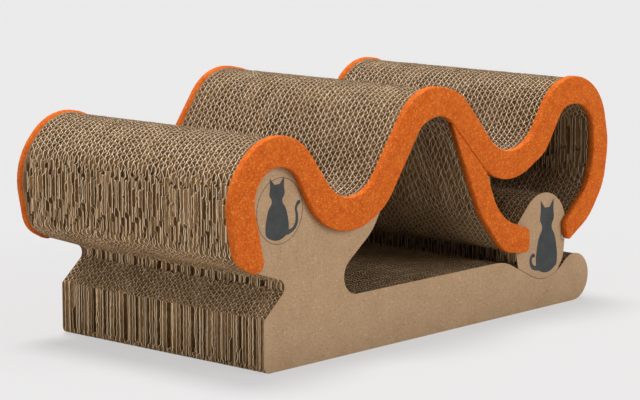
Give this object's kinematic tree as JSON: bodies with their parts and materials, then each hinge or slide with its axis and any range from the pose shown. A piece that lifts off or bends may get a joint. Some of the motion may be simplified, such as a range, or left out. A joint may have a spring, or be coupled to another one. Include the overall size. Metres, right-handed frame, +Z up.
{
  "type": "cardboard cat scratcher",
  "caption": "Wave-shaped cat scratcher of stacked corrugated boards on a slab base, with a loose nested scratching piece under the wave and felt strips on both ends",
  "frame": {"origin": "centre of the bounding box's bottom face, on the surface that the scratcher stands on", "axes": "X runs along the wave from the head to the curl, Y across the stack of boards from the front sheet to the back sheet, Z up"},
  "size_m": [0.455, 0.2304, 0.1965],
  "materials": {
    "corrugated_board": "bare corrugated board with open flutes",
    "kraft_face": "smooth matte kraft liner",
    "felt": "dense orange felt"
  },
  "bodies": {
    "scratcher": {"base_board_01": "corrugated_board", "base_board_02": "corrugated_board", "base_board_03": "corrugated_board", "base_board_04": "corrugated_board", "base_board_05": "corrugated_board", "base_board_06": "corrugated_board", "base_board_07": "corrugated_board", "base_board_08": "corrugated_board", "base_board_09": "corrugated_board", "base_board_10": "corrugated_board", "base_board_11": "corrugated_board", "base_board_12": "corrugated_board", "base_board_13": "corrugated_board", "base_board_14": "corrugated_board", "base_board_15": "corrugated_board", "base_board_16": "corrugated_board", "base_board_17": "corrugated_board", "base_board_18": "corrugated_board", "base_board_19": "corrugated_board", "base_board_20": "corrugated_board", "base_board_21": "corrugated_board", "base_face_front": "kraft_face", "base_face_back": "kraft_face", "wave_felt_front": "felt", "wave_felt_back": "felt"},
    "nested_piece": {"inner_board_01": "corrugated_board", "inner_board_02": "corrugated_board", "inner_board_03": "corrugated_board", "inner_board_04": "corrugated_board", "inner_board_05": "corrugated_board", "inner_board_06": "corrugated_board", "inner_board_07": "corrugated_board", "inner_board_08": "corrugated_board", "inner_board_09": "corrugated_board", "inner_board_10": "corrugated_board", "inner_board_11": "corrugated_board", "inner_board_12": "corrugated_board", "inner_board_13": "corrugated_board", "inner_board_14": "corrugated_board", "inner_board_15": "corrugated_board", "inner_board_16": "corrugated_board", "inner_board_17": "corrugated_board", "inner_board_18": "corrugated_board", "inner_board_19": "corrugated_board", "inner_board_20": "corrugated_board", "inner_board_21": "corrugated_board", "inner_face_front": "kraft_face", "inner_face_back": "kraft_face", "inner_felt_front": "felt", "inner_felt_back": "felt"}
  },
  "joints": [
    {"name": "nested_piece_slide", "type": "slide", "parent": "scratcher", "child": "nested_piece", "axis": [0, 1, 0], "range_m": [-0.24, 0.24]}
  ]
}
